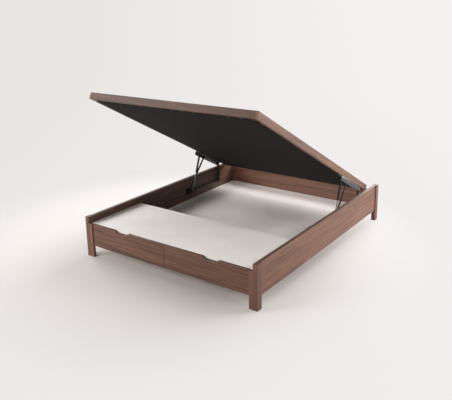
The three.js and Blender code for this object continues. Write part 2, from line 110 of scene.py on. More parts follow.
class BedColours(bpy.types.PropertyGroup):
    """Colours of the finishes."""
    walnut_dark: colour_property("Walnut, dark", "Dark streaks of the walnut pattern", "#543b2f")
    walnut_mid: colour_property("Walnut, middle", "Ground of the walnut pattern", "#7e5d4d")
    walnut_light: colour_property("Walnut, light", "Light streaks of the walnut pattern", "#a37b66")
    walnut_cool: colour_property("Walnut, cool", "Cool tint of some of the streaks", "#e0dad6")
    walnut_warm: colour_property("Walnut, warm", "Warm tint of some of the streaks", "#fff0e4")
    # The boards' top faces get this darker walnut as painted shade from above
    top_face_shade: colour_property("Edging", "Narrow banding on the boards' top edges", "#5b4236")
    white_board: colour_property("White board", "White melamine of the cover, floor and drawers", "#faf3ef")
    timber: colour_property("Plain timber", "Planed softwood of the hidden battens", "#c4a27c")
    black_steel: colour_property("Black steel", "Powder coat of the lift fittings", "#100f0f")
    zinc: colour_property("Zinc-plated steel", "Pivots, runners and strut rods", "#b4b5b3")
    lining: colour_property("Lining", "Spun-bonded cloth under the lid", "#1b1716")
    fabric: colour_property("Top fabric", "Woven cloth on the lid", "#3b3634")
    plastic: colour_property("Black plastic", "Centre feet", "#1c1c1c")
    floor: colour_property("Floor", "Studio floor round the bed", "#dcd7d4")
    # The backdrop's glow is painted darker on the left and lighter on the right, a painted falloff of the
    # light
    backdrop_shaded_left: colour_property("Backdrop, left", "Plain backdrop left of the bed", "#e9e5e3")
    backdrop_lit_right: colour_property("Backdrop, right", "Plain backdrop right of the bed", "#f4f2f1")


def sizes():
    return bpy.context.scene.bed_sizes


def colours():
    return bpy.context.scene.bed_colours


# Node graphs: a source or a vector is a (node, output) pair

def feed(tree, source, target, socket):
    tree.links.new(source[0].outputs[source[1]], target.inputs[socket])


def node(tree, kind, settings=None, links=None):
    """Adds a node, sets its attributes and input values, and feeds its inputs from sources."""
    made = tree.nodes.new(kind)
    for key, value in (settings or {}).items():
        if isinstance(key, str) and hasattr(made, key):
            setattr(made, key, value)
        else:
            made.inputs[key].default_value = value
    for socket, source in (links or {}).items():
        feed(tree, source, made, socket)
    return made


def new_material(name, settings=None):
    """A material whose graph is its output and a Principled shader with these input values."""
    made = bpy.data.materials.new(name)
    made.use_nodes = True
    tree = made.node_tree
    tree.nodes.clear()
    shader = node(tree, "ShaderNodeBsdfPrincipled", settings)
    node(tree, "ShaderNodeOutputMaterial", links={"Surface": (shader, "BSDF")})
    return made, tree, shader


def object_place(tree):
    return node(tree, "ShaderNodeTexCoord"), "Object"


def ramped(tree, source, stops):
    """A colour ramp over a source, with (place, colour) stops."""
    made = node(tree, "ShaderNodeValToRGB", links={"Fac": source})
    elements = made.color_ramp.elements
    while len(elements) > 1:
        elements.remove(elements[-1])
    elements[0].position, elements[0].color = stops[0]
    for place, colour in stops[1:]:
        elements.new(place).color = colour
    return made, "Color"


def paint(tree, shader, source, stops):
    """Colours a shader by a ramp over a source."""
    feed(tree, ramped(tree, source, stops), shader, "Base Color")


def remapped(tree, source, start=(0.0, 1.0), end=(0.0, 1.0), kind="LINEAR"):
    """A source carried from one range to another, which it doesn't leave."""
    ranges = {"From Min": start[0], "From Max": start[1], "To Min": end[0], "To Max": end[1]}
    made = node(tree, "ShaderNodeMapRange", {"interpolation_type": kind, **ranges}, {"Value": source})
    return made, "Result"


def blended(tree, share, first, second):
    """Two sources mixed, with this share of the second."""
    made = node(tree, "ShaderNodeMix", {"data_type": "FLOAT", "Factor": share}, {"A": first, "B": second})
    return made, "Result"


def even_noise(tree, vector, cell_mm, detail):
    """Noise whose cells are as long as they are wide."""
    settings = {"Scale": 1 / (cell_mm * MM), "Detail": detail}
    return node(tree, "ShaderNodeTexNoise", settings, {"Vector": vector}), "Fac"


def surface_bump(tree, shader, height, depth_mm, strength):
    bump = node(tree, "ShaderNodeBump", {"Strength": strength, "Distance": depth_mm * MM},
                {"Height": height})
    feed(tree, (bump, "Normal"), shader, "Normal")


def tinted(colour, red, green, blue):
    return (colour[0] * red, colour[1] * green, colour[2] * blue, 1)


# How far each kind of board's walnut is darkened, on the scale of the walnut pattern's ramp: painted shade
# on the legs' and drawers' fronts, the left rail's inner face, the lid's foot rim and its base panel, which
# face away from the lamps or lie under the lid. Below zero the board is lightened as painted light, on the
# right rail and the lid's other rims. The block's lighter print than the stile's is a real difference.
STILE_SHADE, BLOCK_SHADE = 0.06, 0.02
LEFT_RAIL_SHADE, RIGHT_RAIL_SHADE = 0.14, -0.03
DRAWER_SHADE = 0.09
LID_FOOT_SHADE, LID_RIM_SHADE, LID_BASE_SHADE = 0.14, -0.02, 0.05

# Turns the object's axes so that the texture's X runs along the grain
GRAIN_TURN = {"X": (0, 0, 0), "Y": (0, 0, math.radians(90)), "Z": (0, math.radians(90), 0)}


def along_grain(tree, grain, shift=(0, 0, 0), tilt=0.0):
    """Object coordinates, levelled by the lid's tilt where there is one, then turned to the grain."""
    level = node(tree, "ShaderNodeMapping", {"Rotation": (tilt, 0, 0)}, {"Vector": object_place(tree)})
    turned = node(tree, "ShaderNodeMapping", {"Location": shift, "Rotation": GRAIN_TURN[grain]},
                  {"Vector": (level, "Vector")})
    return turned, "Vector"


def drawn_out(tree, vector, length_mm, width_mm, detail=2.0, roughness=0.5, distortion=0.0):
    """Noise drawn out along the grain: one cell is length_mm long and width_mm wide."""
    scale = (1 / (length_mm * MM), 1 / (width_mm * MM), 1 / (width_mm * MM))
    stretched = node(tree, "ShaderNodeMapping", {"Scale": scale}, {"Vector": vector})
    settings = {"Scale": 1.0, "Detail": detail, "Roughness": roughness, "Distortion": distortion}
    return node(tree, "ShaderNodeTexNoise", settings, {"Vector": (stretched, "Vector")}), "Fac"


def walnut_board(name, grain, shift, painted_shade, tilt=0.0):
    """Walnut-pattern melamine: a printed grain under a satin, faintly textured resin.
    The eye sees long cool and warm streaks along the board, and a soft broad gloss.
    The real pores are 0.3 mm wide and are drawn 1.6 mm wide, or they would not show.
    The shift, in metres, gives each board its own place in the pattern. The shade value darkens the
    whole board as painted shade, and below zero lightens it as painted light."""
    made, tree, shader = new_material(f"walnut_melamine_{name}")
    c = colours()
    grained = along_grain(tree, grain, shift, tilt)
    figure = drawn_out(tree, grained, 950, 44, detail=3.0, roughness=0.55, distortion=2.2)
    streaks = drawn_out(tree, grained, 360, 13, detail=5.0, roughness=0.66, distortion=1.1)
    fibres = drawn_out(tree, grained, 150, 2.6, roughness=0.6)
    pores = drawn_out(tree, grained, 24, 1.6, detail=1.0)
    tone = drawn_out(tree, grained, 800, 27, distortion=0.8)
    soft = blended(tree, 0.5, figure, streaks)
    mixed = blended(tree, 0.2, soft, fibres)
    lowered = node(tree, "ShaderNodeMath", {"operation": "ADD", 1: -painted_shade}, {0: mixed})
    ground = ramped(tree, (lowered, "Value"),
                    [(0.32, c.walnut_dark), (0.5, c.walnut_mid), (0.7, c.walnut_light)])
    tint = ramped(tree, tone, [(0.36, c.walnut_cool), (0.62, c.walnut_warm)])
    toned = node(tree, "ShaderNodeVectorMath", {"operation": "MULTIPLY"}, {0: ground, 1: tint})
    dashes = remapped(tree, pores, start=(0.6, 0.74), end=(1.0, 0.74))
    printed = node(tree, "ShaderNodeVectorMath", {"operation": "SCALE"},
                   {"Vector": (toned, "Vector"), "Scale": dashes})
    feed(tree, (printed, "Vector"), shader, "Base Color")
    feed(tree, remapped(tree, streaks, end=(0.4, 0.58)), shader, "Roughness")
    surface_bump(tree, shader, pores, 0.15, 0.5)
    return made


def walnut_top_shade(name, grain):
    """Darker walnut for the boards' up-facing faces, painted shade from above: plain colour with faint lines
    along the edge, like narrow ABS banding.
    """
    made, tree, shader = new_material(f"walnut_edging_{name}", {"Roughness": 0.5})
    lines = drawn_out(tree, along_grain(tree, grain), 300, 4, detail=3.0)
    dark = colours().top_face_shade
    paint(tree, shader, lines,
          [(0.35, tinted(dark, 0.7, 0.68, 0.66)), (0.65, tinted(dark, 1.25, 1.22, 1.2))])
    surface_bump(tree, shader, lines, 0.05, 0.4)
    return made


def white_melamine(name):
    """White melamine-faced chipboard, pressed on a fine pearl plate: matt, with a barely uneven white."""
    made, tree, shader = new_material(name, {"Roughness": 0.5})
    place = object_place(tree)
    cloud = even_noise(tree, place, 180, 3.0)
    pearl = even_noise(tree, place, 2.2, 1.0)
    white = colours().white_board
    paint(tree, shader, cloud, [(0.35, tinted(white, 0.95, 0.95, 0.94)), (0.65, white)])
    surface_bump(tree, shader, pearl, 0.06, 0.4)
    return made


def planed_timber(name, grain="X", tilt=0.0):
    """Planed pine battens: pale, dry, with 6 mm growth rings drawn out along the piece."""
    made, tree, shader = new_material(name, {"Roughness": 0.75})
    rings = drawn_out(tree, along_grain(tree, grain, tilt=tilt), 400, 6, detail=3.0, distortion=0.8)
    pale = colours().timber
    paint(tree, shader, rings, [(0.35, tinted(pale, 0.62, 0.55, 0.45)), (0.62, pale)])
    surface_bump(tree, shader, rings, 0.1, 0.5)
    return made


def powder_coat(name, shine, roughness):
    """Black powder coat on pressed steel: a fine orange peel of about 1.5 mm, drawn 2.5 mm to show.
    The eye sees near black, and a soft highlight that grows with the shine."""
    made, tree, shader = new_material(name, {"Roughness": roughness, "Specular IOR Level": shine})
    place = object_place(tree)
    peel = even_noise(tree, place, 2.5, 2.0)
    wear = even_noise(tree, place, 35, 4.0)
    black = colours().black_steel
    paint(tree, shader, wear, [(0.4, black), (0.75, tinted(black, 1.8, 1.75, 1.7))])
    surface_bump(tree, shader, peel, 0.12, 0.5)
    return made


def zinc_steel(name, tone=1.0):
    """Zinc-plated steel: grey, with soft spangle about 8 mm across and a half-bright shine. A low tone
    gives the dark grey of a ground and nitrided piston rod."""
    made, tree, shader = new_material(name, {"Metallic": 1.0})
    place = object_place(tree)
    spangle = node(tree, "ShaderNodeTexVoronoi", {"Scale": 1 / (8 * MM)}, {"Vector": place})
    grey = tinted(colours().zinc, tone, tone, tone)
    paint(tree, shader, (spangle, "Distance"), [(0.1, grey), (0.7, tinted(grey, 0.82, 0.83, 0.85))])
    feed(tree, remapped(tree, (spangle, "Distance"), end=(0.24, 0.42)), shader, "Roughness")
    return made


def woven(name, colour, thread_mm, contrast, sheen, shine):
    """Plain weave: two sets of threads crossing, as two sine waves at the thread spacing whose
    product lifts where they cross. It gives a soft, dry cloth with a faint grid, painted darker in its
    hollows and lighter on its crests as painted shade and light, with a random fuzz tone mixed in."""
    made, tree, shader = new_material(name, {
        "Roughness": 0.9, "Specular IOR Level": shine, "Sheen Weight": sheen, "Sheen Roughness": 0.5,
    })
    level = along_grain(tree, "X", tilt=LID_TILT)
    apart = node(tree, "ShaderNodeSeparateXYZ", links={"Vector": level})
    turn = math.pi / (thread_mm * MM)
    waves = []
    for axis in ("X", "Y"):
        angle = node(tree, "ShaderNodeMath", {"operation": "MULTIPLY", 1: turn}, {0: (apart, axis)})
        waves.append(node(tree, "ShaderNodeMath", {"operation": "SINE"}, {0: (angle, "Value")}))
    weave = node(tree, "ShaderNodeMath", {"operation": "MULTIPLY"},
                 {0: (waves[0], "Value"), 1: (waves[1], "Value")})
    height = remapped(tree, (weave, "Value"), start=(-1.0, 1.0))
    fuzz = even_noise(tree, level, 60, 5.0)
    both = blended(tree, 0.55, height, fuzz)
    # Painted shade in the weave's hollows and painted light on its crests
    shaded_valley, lit_crest = [tinted(colour, *[1 + change] * 3) for change in (-contrast, contrast)]
    paint(tree, shader, both, [(0.3, shaded_valley), (0.7, lit_crest)])
    surface_bump(tree, shader, height, 0.3, 0.7)
    return made


def moulded_plastic(name):
    """Black moulded polypropylene with a fine spark texture of about 1.2 mm."""
    made, tree, shader = new_material(name, {"Roughness": 0.6})
    place = object_place(tree)
    spark = even_noise(tree, place, 1.2, 1.0)
    dark = colours().plastic
    paint(tree, shader, spark, [(0.3, dark), (0.8, tinted(dark, 1.5, 1.5, 1.5))])
    surface_bump(tree, shader, spark, 0.08, 0.5)
    return made


# Shells: each is an array of points and a list of faces

def loft(rings, pointed=True):
    """Rings of equal count, joined ring to ring. The first and last close in a fan to their middle
    points, or where they aren't pointed the last joins the first again."""
    rings = np.asarray(rings, float)
    count, sides = rings.shape[:2]
    index = np.arange(count * sides).reshape(count, sides)
    if not pointed:
        index = np.vstack([index, index[:1]])
    after = np.roll(index, -1, axis=1)
    quads = np.dstack([index[:-1], after[:-1], after[1:], index[1:]]).reshape(-1, 4).tolist()
    points = rings.reshape(-1, 3)
    if not pointed:
        return points, quads
    points = np.vstack([points, rings[0].mean(axis=0), rings[-1].mean(axis=0)])
    first, last = np.full(sides, count * sides), np.full(sides, count * sides + 1)
    fans = np.vstack([
        np.column_stack([first, after[0], index[0]]),
        np.column_stack([last, index[-1], after[-1]]),
    ])
    return points, quads + fans.tolist()


def ring(radius, height, corners=0, sides=24):
    """A circle about Z, or with corners a regular polygon, whose polar radius is
    r cos(h) / cos((t mod 2h) - h) with h half the angle between two corners."""
    turn = np.arange(sides) * 2 * np.pi / sides
    reach = np.full(sides, radius)
    if corners:
        half = np.pi / corners
        reach = radius * np.cos(half) / np.cos(np.mod(turn, 2 * half) - half)
    return np.column_stack([reach * np.cos(turn), reach * np.sin(turn), np.full(sides, height)])


def revolve(profile, sides):
    """A profile of (radius, height) turned about Z, closed at both ends."""
    return loft([ring(radius, height, sides=sides) for radius, height in profile])


def prism(outline, low, high):
    """A closed outline, counter-clockwise in its plane, carried straight from low to high."""
    outline = np.asarray(outline, float)
    count = len(outline)
    bottom = np.column_stack([outline, np.full(count, low)])
    top = np.column_stack([outline, np.full(count, high)])
    index = np.arange(count)
    after = (index + 1) % count
    walls = np.column_stack([index, after, after + count, index + count]).tolist()
    caps = [index[::-1].tolist(), (index + count).tolist()]
    return np.vstack([bottom, top]), walls + caps


def block(low, high):
    """A plain board between two corners, as a prism of its footprint."""
    (x0, y0, z0), (x1, y1, z1) = low, high
    return prism([(x0, y0), (x1, y0), (x1, y1), (x0, y1)], z0, z1)


def set_along(shell, origin, along):
    """Turns a shell drawn about Z so that Z runs along a direction, and moves it to an origin."""
    turn = Vector((0, 0, 1)).rotation_difference(Vector(along)).to_matrix()
    return shell[0] @ np.array(turn).T + np.asarray(origin, float), shell[1]


def socket_screw(radius, height):
    """A button head with a hexagonal socket: circles rise and draw in, then hexagons go down inside."""
    return loft([
        ring(radius, 0), ring(radius, height * 0.55), ring(radius * 0.82, height * 0.92),
        ring(radius * 0.62, height), ring(radius * 0.5, height, 6), ring(radius * 0.48, height * 0.62, 6),
    ])


def domed_head(radius, height):
    """A rivet's head: a short wall, then a quarter of an ellipse up to the middle."""
    turn = np.linspace(0, math.pi / 2, 6)[:-1]
    dome = [(radius * math.cos(t), height * (0.3 + 0.7 * math.sin(t))) for t in turn]
    return revolve([(radius, 0), *dome], 24)


# Pieces

def new_object(name, data):
    """An object at the origin, linked to the scene."""
    made = bpy.data.objects.new(name, data)
    bpy.context.scene.collection.objects.link(made)
    return made


def finish_piece(name, mesh, materials, replaced, radius):
    """An object at the origin that stands for a CAD node, rides on its body and has rounded edges."""
    for material in materials:
        mesh.materials.append(material)
    mesh.shade_smooth()
    piece = new_object(name, mesh)
    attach(piece, frame["nodes"][replaced]["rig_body"])
    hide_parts(replaced)
    if radius:
        bevel = piece.modifiers.new("edge", "BEVEL")
        bevel.width = radius
        bevel.segments = 3
        bevel.limit_method = "ANGLE"
        bevel.angle_limit = math.radians(40)
        bevel.harden_normals = True
    return piece


def make_piece(name, shells, replaced, radius=0.0):
    """Closed shells, given as (shell, material) pairs, as one piece in place of a CAD node."""
    points, faces, owners, materials = [], [], [], []
    start = 0
    for (vertices, polygons), material in shells:
        if material not in materials:
            materials.append(material)
        points.append(vertices)
        faces += [[i + start for i in polygon] for polygon in polygons]
        owners += [materials.index(material)] * len(polygons)
        start += len(vertices)
    mesh = bpy.data.meshes.new(name)
    mesh.from_pydata(np.vstack(points).tolist(), [], faces)
    mesh.polygons.foreach_set("material_index", owners)
    mesh.update()
    return finish_piece(name, mesh, materials, replaced, radius)


def dress_shells(name, shells, radius=0.0):
    """Closed shells as the piece that stands for the CAD node of a name."""
    return make_piece(f"{name}_dressed", shells, name, radius)


def dress_node(name, material, radius, extras=()):
    """The node's own shape with rounded edges: its loose triangles are welded and its flat faces merged,
    so that the bevel finds the real edges. The extras are more closed shells of the same piece."""
    form = bmesh.new()
    form.from_mesh(frame["nodes"][name].data)
    bmesh.ops.remove_doubles(form, verts=form.verts, dist=1e-6)
    bmesh.ops.dissolve_limit(form, angle_limit=math.radians(0.5), verts=form.verts, edges=form.edges)
    for face in form.faces:
        face.material_index = 0
    for points, faces in extras:
        shell = bpy.data.meshes.new("shell")
        shell.from_pydata(points.tolist(), [], faces)
        form.from_mesh(shell)
        bpy.data.meshes.remove(shell)
    mesh = bpy.data.meshes.new(f"{name}_dressed")
    form.to_mesh(mesh)
    form.free()
    return finish_piece(f"{name}_dressed", mesh, [material], name, radius)


def shade_top_faces(piece, material):
    """Gives the faces that look up the darker top material, painted shade from above."""
    mesh = piece.data
    count = len(mesh.polygons)
    normals = np.empty(count * 3)
    mesh.polygons.foreach_get("normal", normals)
    owners = np.empty(count, int)
    mesh.polygons.foreach_get("material_index", owners)
    owners[normals.reshape(-1, 3)[:, 2] > 0.99] = len(mesh.materials)
    mesh.materials.append(material)
    mesh.polygons.foreach_set("material_index", owners)


def node_points(name):
    mesh = frame["nodes"][name].data
    points = np.empty(len(mesh.vertices) * 3)
    mesh.vertices.foreach_get("co", points)
    return points.reshape(-1, 3)


def corners(name):
    low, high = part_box(name)
    return np.array(low), np.array(high)


LID_TURN = np.array([
    [1, 0, 0],
    [0, math.cos(LID_TILT), math.sin(LID_TILT)],
    [0, -math.sin(LID_TILT), math.cos(LID_TILT)],
])


def lid_origin():
    """The lid's lower head edge, from the head rim board's lowest corner."""
    points = node_points("lid_rim_head")
    lowest = points[np.argmin(points[:, 2])]
    return np.array([0.0, lowest[1], lowest[2]])


def lid_place(shell):
    """Turns a shell from the lid's own axes, head edge at the origin, into the raised lid's place."""
    return shell[0] @ LID_TURN.T + lid_origin(), shell[1]


def lid_box(name):
    """A lid node's corners in the lid's own axes."""
    own = (node_points(name) - lid_origin()) @ LID_TURN
    return own.min(axis=0), own.max(axis=0)


class BED_OT_legs(bpy.types.Operator):
    """Four legs, each a tall stile and a shorter block glued side by side, grain upright"""
    bl_idname = "bed.legs"
    bl_label = "Legs"

    def execute(self, context):
        rail_inner = corners("side_rail_right")[0][0]
        # The legs' top faces are painted darker, as shade
        top_face_shade = walnut_top_shade("legs", "X")
        for e, end in enumerate(ENDS):
            for s, side in enumerate(SIDES):
                name = f"leg_{end}_{side}"
                low, high = corners(name)
                shift = (0.31 * e + 0.2 * s, 0.17 * s, 0.4 * s + 0.2 * e)
                # The legs' fronts are darkened as painted shade, the stile more than the block as a real
                # print difference
                stile = walnut_board(f"stile_{end}_{side}", "Z", shift, STILE_SHADE)
                inner = walnut_board(f"block_{end}_{side}", "Z", shift[::-1], BLOCK_SHADE)
                joint = rail_inner if side == "right" else -rail_inner
                stile_x = sorted([joint, max(low[0], high[0], key=abs)])
                points = node_points(name)
                inside = points[np.abs(points[:, 0]) < rail_inner - MM]
                block_x = sorted([joint, inside[0, 0]])
                block_low, block_high = inside.min(axis=0), inside.max(axis=0)
                shells = [
                    (block((stile_x[0], *low[1:]), (stile_x[1], *high[1:])), stile),
                    (block((block_x[0], *block_low[1:]), (block_x[1], *block_high[1:])), inner),
                ]
                shade_top_faces(dress_shells(name, shells, sizes().edge_round), top_face_shade)
        return {"FINISHED"}


class BED_OT_rails(bpy.types.Operator):
    """Side rails and head rail, grain along each board"""
    bl_idname = "bed.rails"
    bl_label = "Rails"

    def execute(self, context):
        # The left rail is darkened as painted shade under the lid, the right rail lightened as painted light
        boards = (
            ("side_rail_left", "Y", (0.0, 0.0, 0.0), LEFT_RAIL_SHADE),
            ("side_rail_right", "Y", (0.0, 0.23, 0.61), RIGHT_RAIL_SHADE),
            ("head_rail", "X", (0.4, 0.1, 0.3), 0.0),
        )
        for name, grain, shift, painted_shade in boards:
            board = walnut_board(name, grain, shift, painted_shade)
            piece = dress_shells(name, [(block(*corners(name)), board)], sizes().edge_round)
            # The rails' top faces are painted darker, as shade
            shade_top_faces(piece, walnut_top_shade(name, grain))
        return {"FINISHED"}


def notched_outline(name):
    """A drawer front's outline in (x, z), read from the notch's corners in its CAD node."""
    points = node_points(name)
    low, high = points.min(axis=0), points.max(axis=0)
    step = 0.1 * MM
    notch_floor = np.unique(np.round(points[:, 2], 5))[1]
    floor_x = points[np.abs(points[:, 2] - notch_floor) < step][:, 0]
    top_x = np.unique(np.round(points[np.abs(points[:, 2] - high[2]) < step][:, 0], 4))
    inner = top_x[(top_x > low[0] + step) & (top_x < high[0] - step)]
    return [
        (low[0], low[2]), (high[0], low[2]), (high[0], high[2]), (inner.max(), high[2]),
        (floor_x.max(), notch_floor), (floor_x.min(), notch_floor), (inner.min(), high[2]), (low[0], high[2]),
    ]


class BED_OT_drawers(bpy.types.Operator):
    """Drawer fronts with their finger notches, white drawer boxes and their runners' sliding rails"""
    bl_idname = "bed.drawers"
    bl_label = "Drawers"

    def execute(self, context):
        self.white = white_melamine("white_melamine_drawers")
        self.zinc = zinc_steel("zinc_plated_drawer_rails")
        # The drawer fronts' top faces are painted darker, as shade
        top_face_shade = walnut_top_shade("drawers", "X")
        for s, side in enumerate(SIDES):
            name = f"drawer_{side}_front"
            low, high = corners(name)
            points, faces = prism(notched_outline(name), low[1], high[1])
            # prism carries along its third axis, which here is the bed's Y
            shell = (points[:, [0, 2, 1]], [face[::-1] for face in faces])
            shift = (0.13 + 0.09 * s, 0.2, 0.37 + 0.06 * s)
            # The drawer fronts are darkened as painted shade
            board = walnut_board(name, "X", shift, DRAWER_SHADE)
            shade_top_faces(dress_shells(name, [(shell, board)], sizes().edge_round), top_face_shade)
            for part in ("back", "base"):
                dress_node(f"drawer_{side}_{part}", self.white, sizes().steel_round)
            for place in ("outer", "inner"):
                self.make_side(f"drawer_{side}_{place}_side", (low[0] + high[0]) / 2)
        return {"FINISHED"}

    def make_side(self, name, middle):
        """A side board, and on its outer face the runner's sliding rail, a channel that opens outwards."""
        points = node_points(name)
        low, high = points.min(axis=0), points.max(axis=0)
        across = np.unique(np.round(points[:, 0], 5))
        *inner, face, tip = sorted(across, key=lambda x: abs(x - middle))
        wall = inner[0]
        at_tip = points[np.abs(points[:, 0] - tip) < 0.1 * MM]
        bottom, top = at_tip[:, 2].min(), at_tip[:, 2].max()
        board = block((min(wall, face), low[1], low[2]), (max(wall, face), high[1], high[2]))
        web = face + math.copysign(PLATE, tip - face)
        outline = [
            (face, bottom), (tip, bottom), (tip, bottom + PLATE), (web, bottom + PLATE),
            (web, top - PLATE), (tip, top - PLATE), (tip, top), (face, top),
        ]
        rail, faces = prism(outline, low[1], high[1])
        if tip > face:
            faces = [polygon[::-1] for polygon in faces]
        shells = [(board, self.white), ((rail[:, [0, 2, 1]], faces), self.zinc)]
        dress_shells(name, shells, sizes().steel_round)


class BED_OT_cover(bpy.types.Operator):
    """White cover board over the drawers, with the bay and the storage floor under it"""
    bl_idname = "bed.cover"
    bl_label = "Cover, bay and storage floor"

    def execute(self, context):
        radius = sizes().steel_round
        white = white_melamine("white_melamine_carcass")
        for name in ("cover_board", "bay_spacer_left", "bay_spacer_right", "bay_divider", "bay_back",
                     "floor_panel_foot", "floor_panel_head"):
            dress_node(name, white, radius)
        across = planed_timber("planed_pine_across")
        for name in ("bay_bearer", "floor_beam_middle", "floor_beam_head"):
            dress_node(name, across, sizes().edge_round)
        along = planed_timber("planed_pine_along", "Y")
        for side in SIDES:
            dress_node(f"floor_cleat_{side}", along, sizes().edge_round)
        plastic = moulded_plastic("moulded_polypropylene")
        for place in ("middle", "head"):
            self.make_foot(f"centre_foot_{place}", plastic)
        return {"FINISHED"}

    def make_foot(self, name, plastic):
        """A tube on a round pad, with a collar at its top and a threaded neck for levelling, as rings
        whose radius changes with height."""
        low, high = corners(name)
        pad, top = (high[0] - low[0]) / 2, high[2]
        tube, collar = pad - 8 * MM, pad - 3 * MM
        neck = tube - 9 * MM
        profile = [
            (pad - 2 * MM, 0), (pad, 1.5 * MM), (pad, 4 * MM), (collar, 6 * MM), (neck, 6.5 * MM),
            (neck, 14 * MM), (tube, 14 * MM), (tube, top - 9 * MM), (collar, top - 6 * MM), (collar, top),
        ]
        centre = (low + high) / 2
        shell = set_along(revolve(profile, 40), (centre[0], centre[1], 0), (0, 0, 1))
        dress_shells(name, [(shell, plastic)], sizes().steel_round)


class BED_OT_mechanism(bpy.types.Operator):
    """Lift brackets, arms, gas struts and drawer runners"""
    bl_idname = "bed.mechanism"
    bl_label = "Lift mechanism and runners"

    def execute(self, context):
        self.black = powder_coat("black_powder_coat", shine=0.25, roughness=0.42)
        self.glossy = powder_coat("glossy_black_powder_coat", shine=1.0, roughness=0.3)
        self.zinc = zinc_steel("zinc_plated_steel")
        self.rod = zinc_steel("nitrided_rod_steel", tone=0.3)
        radius = sizes().steel_round
        for side in SIDES:
            inward = 1 if side == "left" else -1
            for arm in ("rear_arm", "front_arm"):
                dress_node(f"{arm}_{side}", self.black, radius)
            self.make_lower_bracket(side, inward)
            self.make_upper_bracket(side)
            self.make_strut(side, inward)
            dress_node(f"lid_pivot_{side}", self.zinc, radius)
            for place in ("inner", "outer"):
                dress_node(f"bay_runner_{side}_{place}", self.zinc, radius / 3)
        return {"FINISHED"}

    def make_lower_bracket(self, side, inward):
        """The pressed plate with its riveted pivots, and socket screws over its three bolts."""
        name = f"lower_bracket_{side}"
        low, high = corners(name)
        wall = low[0] if inward > 0 else high[0]
        foot, rear = JOINTS["strut_swing"]["pos_m"], JOINTS["rear_arm_swing"]["pos_m"]
        past_foot, before_rear = 54 * MM, 36 * MM
        places = np.linspace(foot[1] + past_foot, rear[1] - before_rear, 3)
        screw = socket_screw(radius=6.2 * MM, height=5 * MM)
        extras = [set_along(screw, (wall + inward * PLATE, y, rear[2]), (inward, 0, 0)) for y in places]
        dress_node(name, self.black, sizes().steel_round, extras)

    def make_upper_bracket(self, side):
        """The pressed angle with its row of holes, and socket screws through its flat leg."""
        name = f"upper_bracket_{side}"
        low, high = lid_box(name)
        margin, shelf = 22 * MM, 33 * MM
        x = high[0] - PLATE - shelf / 2 if side == "right" else low[0] + PLATE + shelf / 2
        places = np.linspace(high[1] - margin, low[1] + margin, 4)
        screw = socket_screw(radius=5.8 * MM, height=4.6 * MM)
        extras = [lid_place(set_along(screw, (x, y, high[2] - PLATE), (0, 0, -1))) for y in places]
        dress_node(name, self.glossy, sizes().steel_round, extras)

    def make_strut(self, side, inward):
        """The strut's tube is a profile turned about its own line: bore, wiper seal, rolled groove,
        tube, round shoulder and neck, then an eye with its pin. The rod keeps its CAD form and gets a
        lock nut behind its eye."""
        node_name = f"strut_cylinder_{side}"
        foot = np.array(JOINTS["strut_swing"]["pos_m"])
        along = np.array(JOINTS["strut_stroke"]["axis"], float)
        foot[0] = np.mean([corners(f"strut_rod_{side}")[i][0] for i in (0, 1)])
        reach = (node_points(node_name) - foot) @ along
        eye_radius, tube, bore, neck, stud = 9 * MM, 9 * MM, 4.6 * MM, 4 * MM, 4.7 * MM
        half_eye, rounding = 4 * MM, 4 * MM
        seal, seal_rim, groove, collar = 6.6 * MM, 7.4 * MM, tube - 0.9 * MM, neck + 1.4 * MM
        mouth, pin = reach.min(), reach.max() - eye_radius
        shoulder = pin - 14 * MM
        round_end = [
            (tube - rounding * (1 - math.cos(t)), shoulder - rounding * (1 - math.sin(t)))
            for t in np.linspace(0, math.pi / 2, 5)
        ]
        profile = [
            (bore, shoulder - 8 * MM), (bore, mouth), (seal, mouth), (seal_rim, mouth + 1.2 * MM),
            (tube, mouth + 1.6 * MM), (tube, mouth + 9 * MM), (groove, mouth + 10 * MM),
            (groove, mouth + 12 * MM), (tube, mouth + 13 * MM), *round_end, (collar, shoulder),
            (collar, shoulder + 3 * MM), (neck, shoulder + 3.4 * MM), (neck, pin - 5 * MM),
        ]
        top = foot + along * pin
        across = (inward, 0, 0)
        low, high = corners(node_name)
        stud_end = abs((low[0] if inward > 0 else high[0]) - foot[0])
        shells = [
            set_along(revolve(profile, 36), foot, along),
            set_along(revolve([(eye_radius, -half_eye), (eye_radius, half_eye)], 28), top, across),
            set_along(revolve([(stud, -stud_end), (stud, 0)], 20), top, across),
            set_along(domed_head(radius=6 * MM, height=3.2 * MM),
                      top + np.array(across) * half_eye, across),
        ]
        dress_shells(node_name, [(shell, self.black) for shell in shells], sizes().steel_round)
        nut_radius, nut_start, nut_end = 7.2 * MM, 10 * MM, 15 * MM
        nut = loft([ring(nut_radius, height, 6) for height in (nut_start, nut_end)])
        dress_node(f"strut_rod_{side}", self.rod, sizes().steel_round, [set_along(nut, foot, along)])


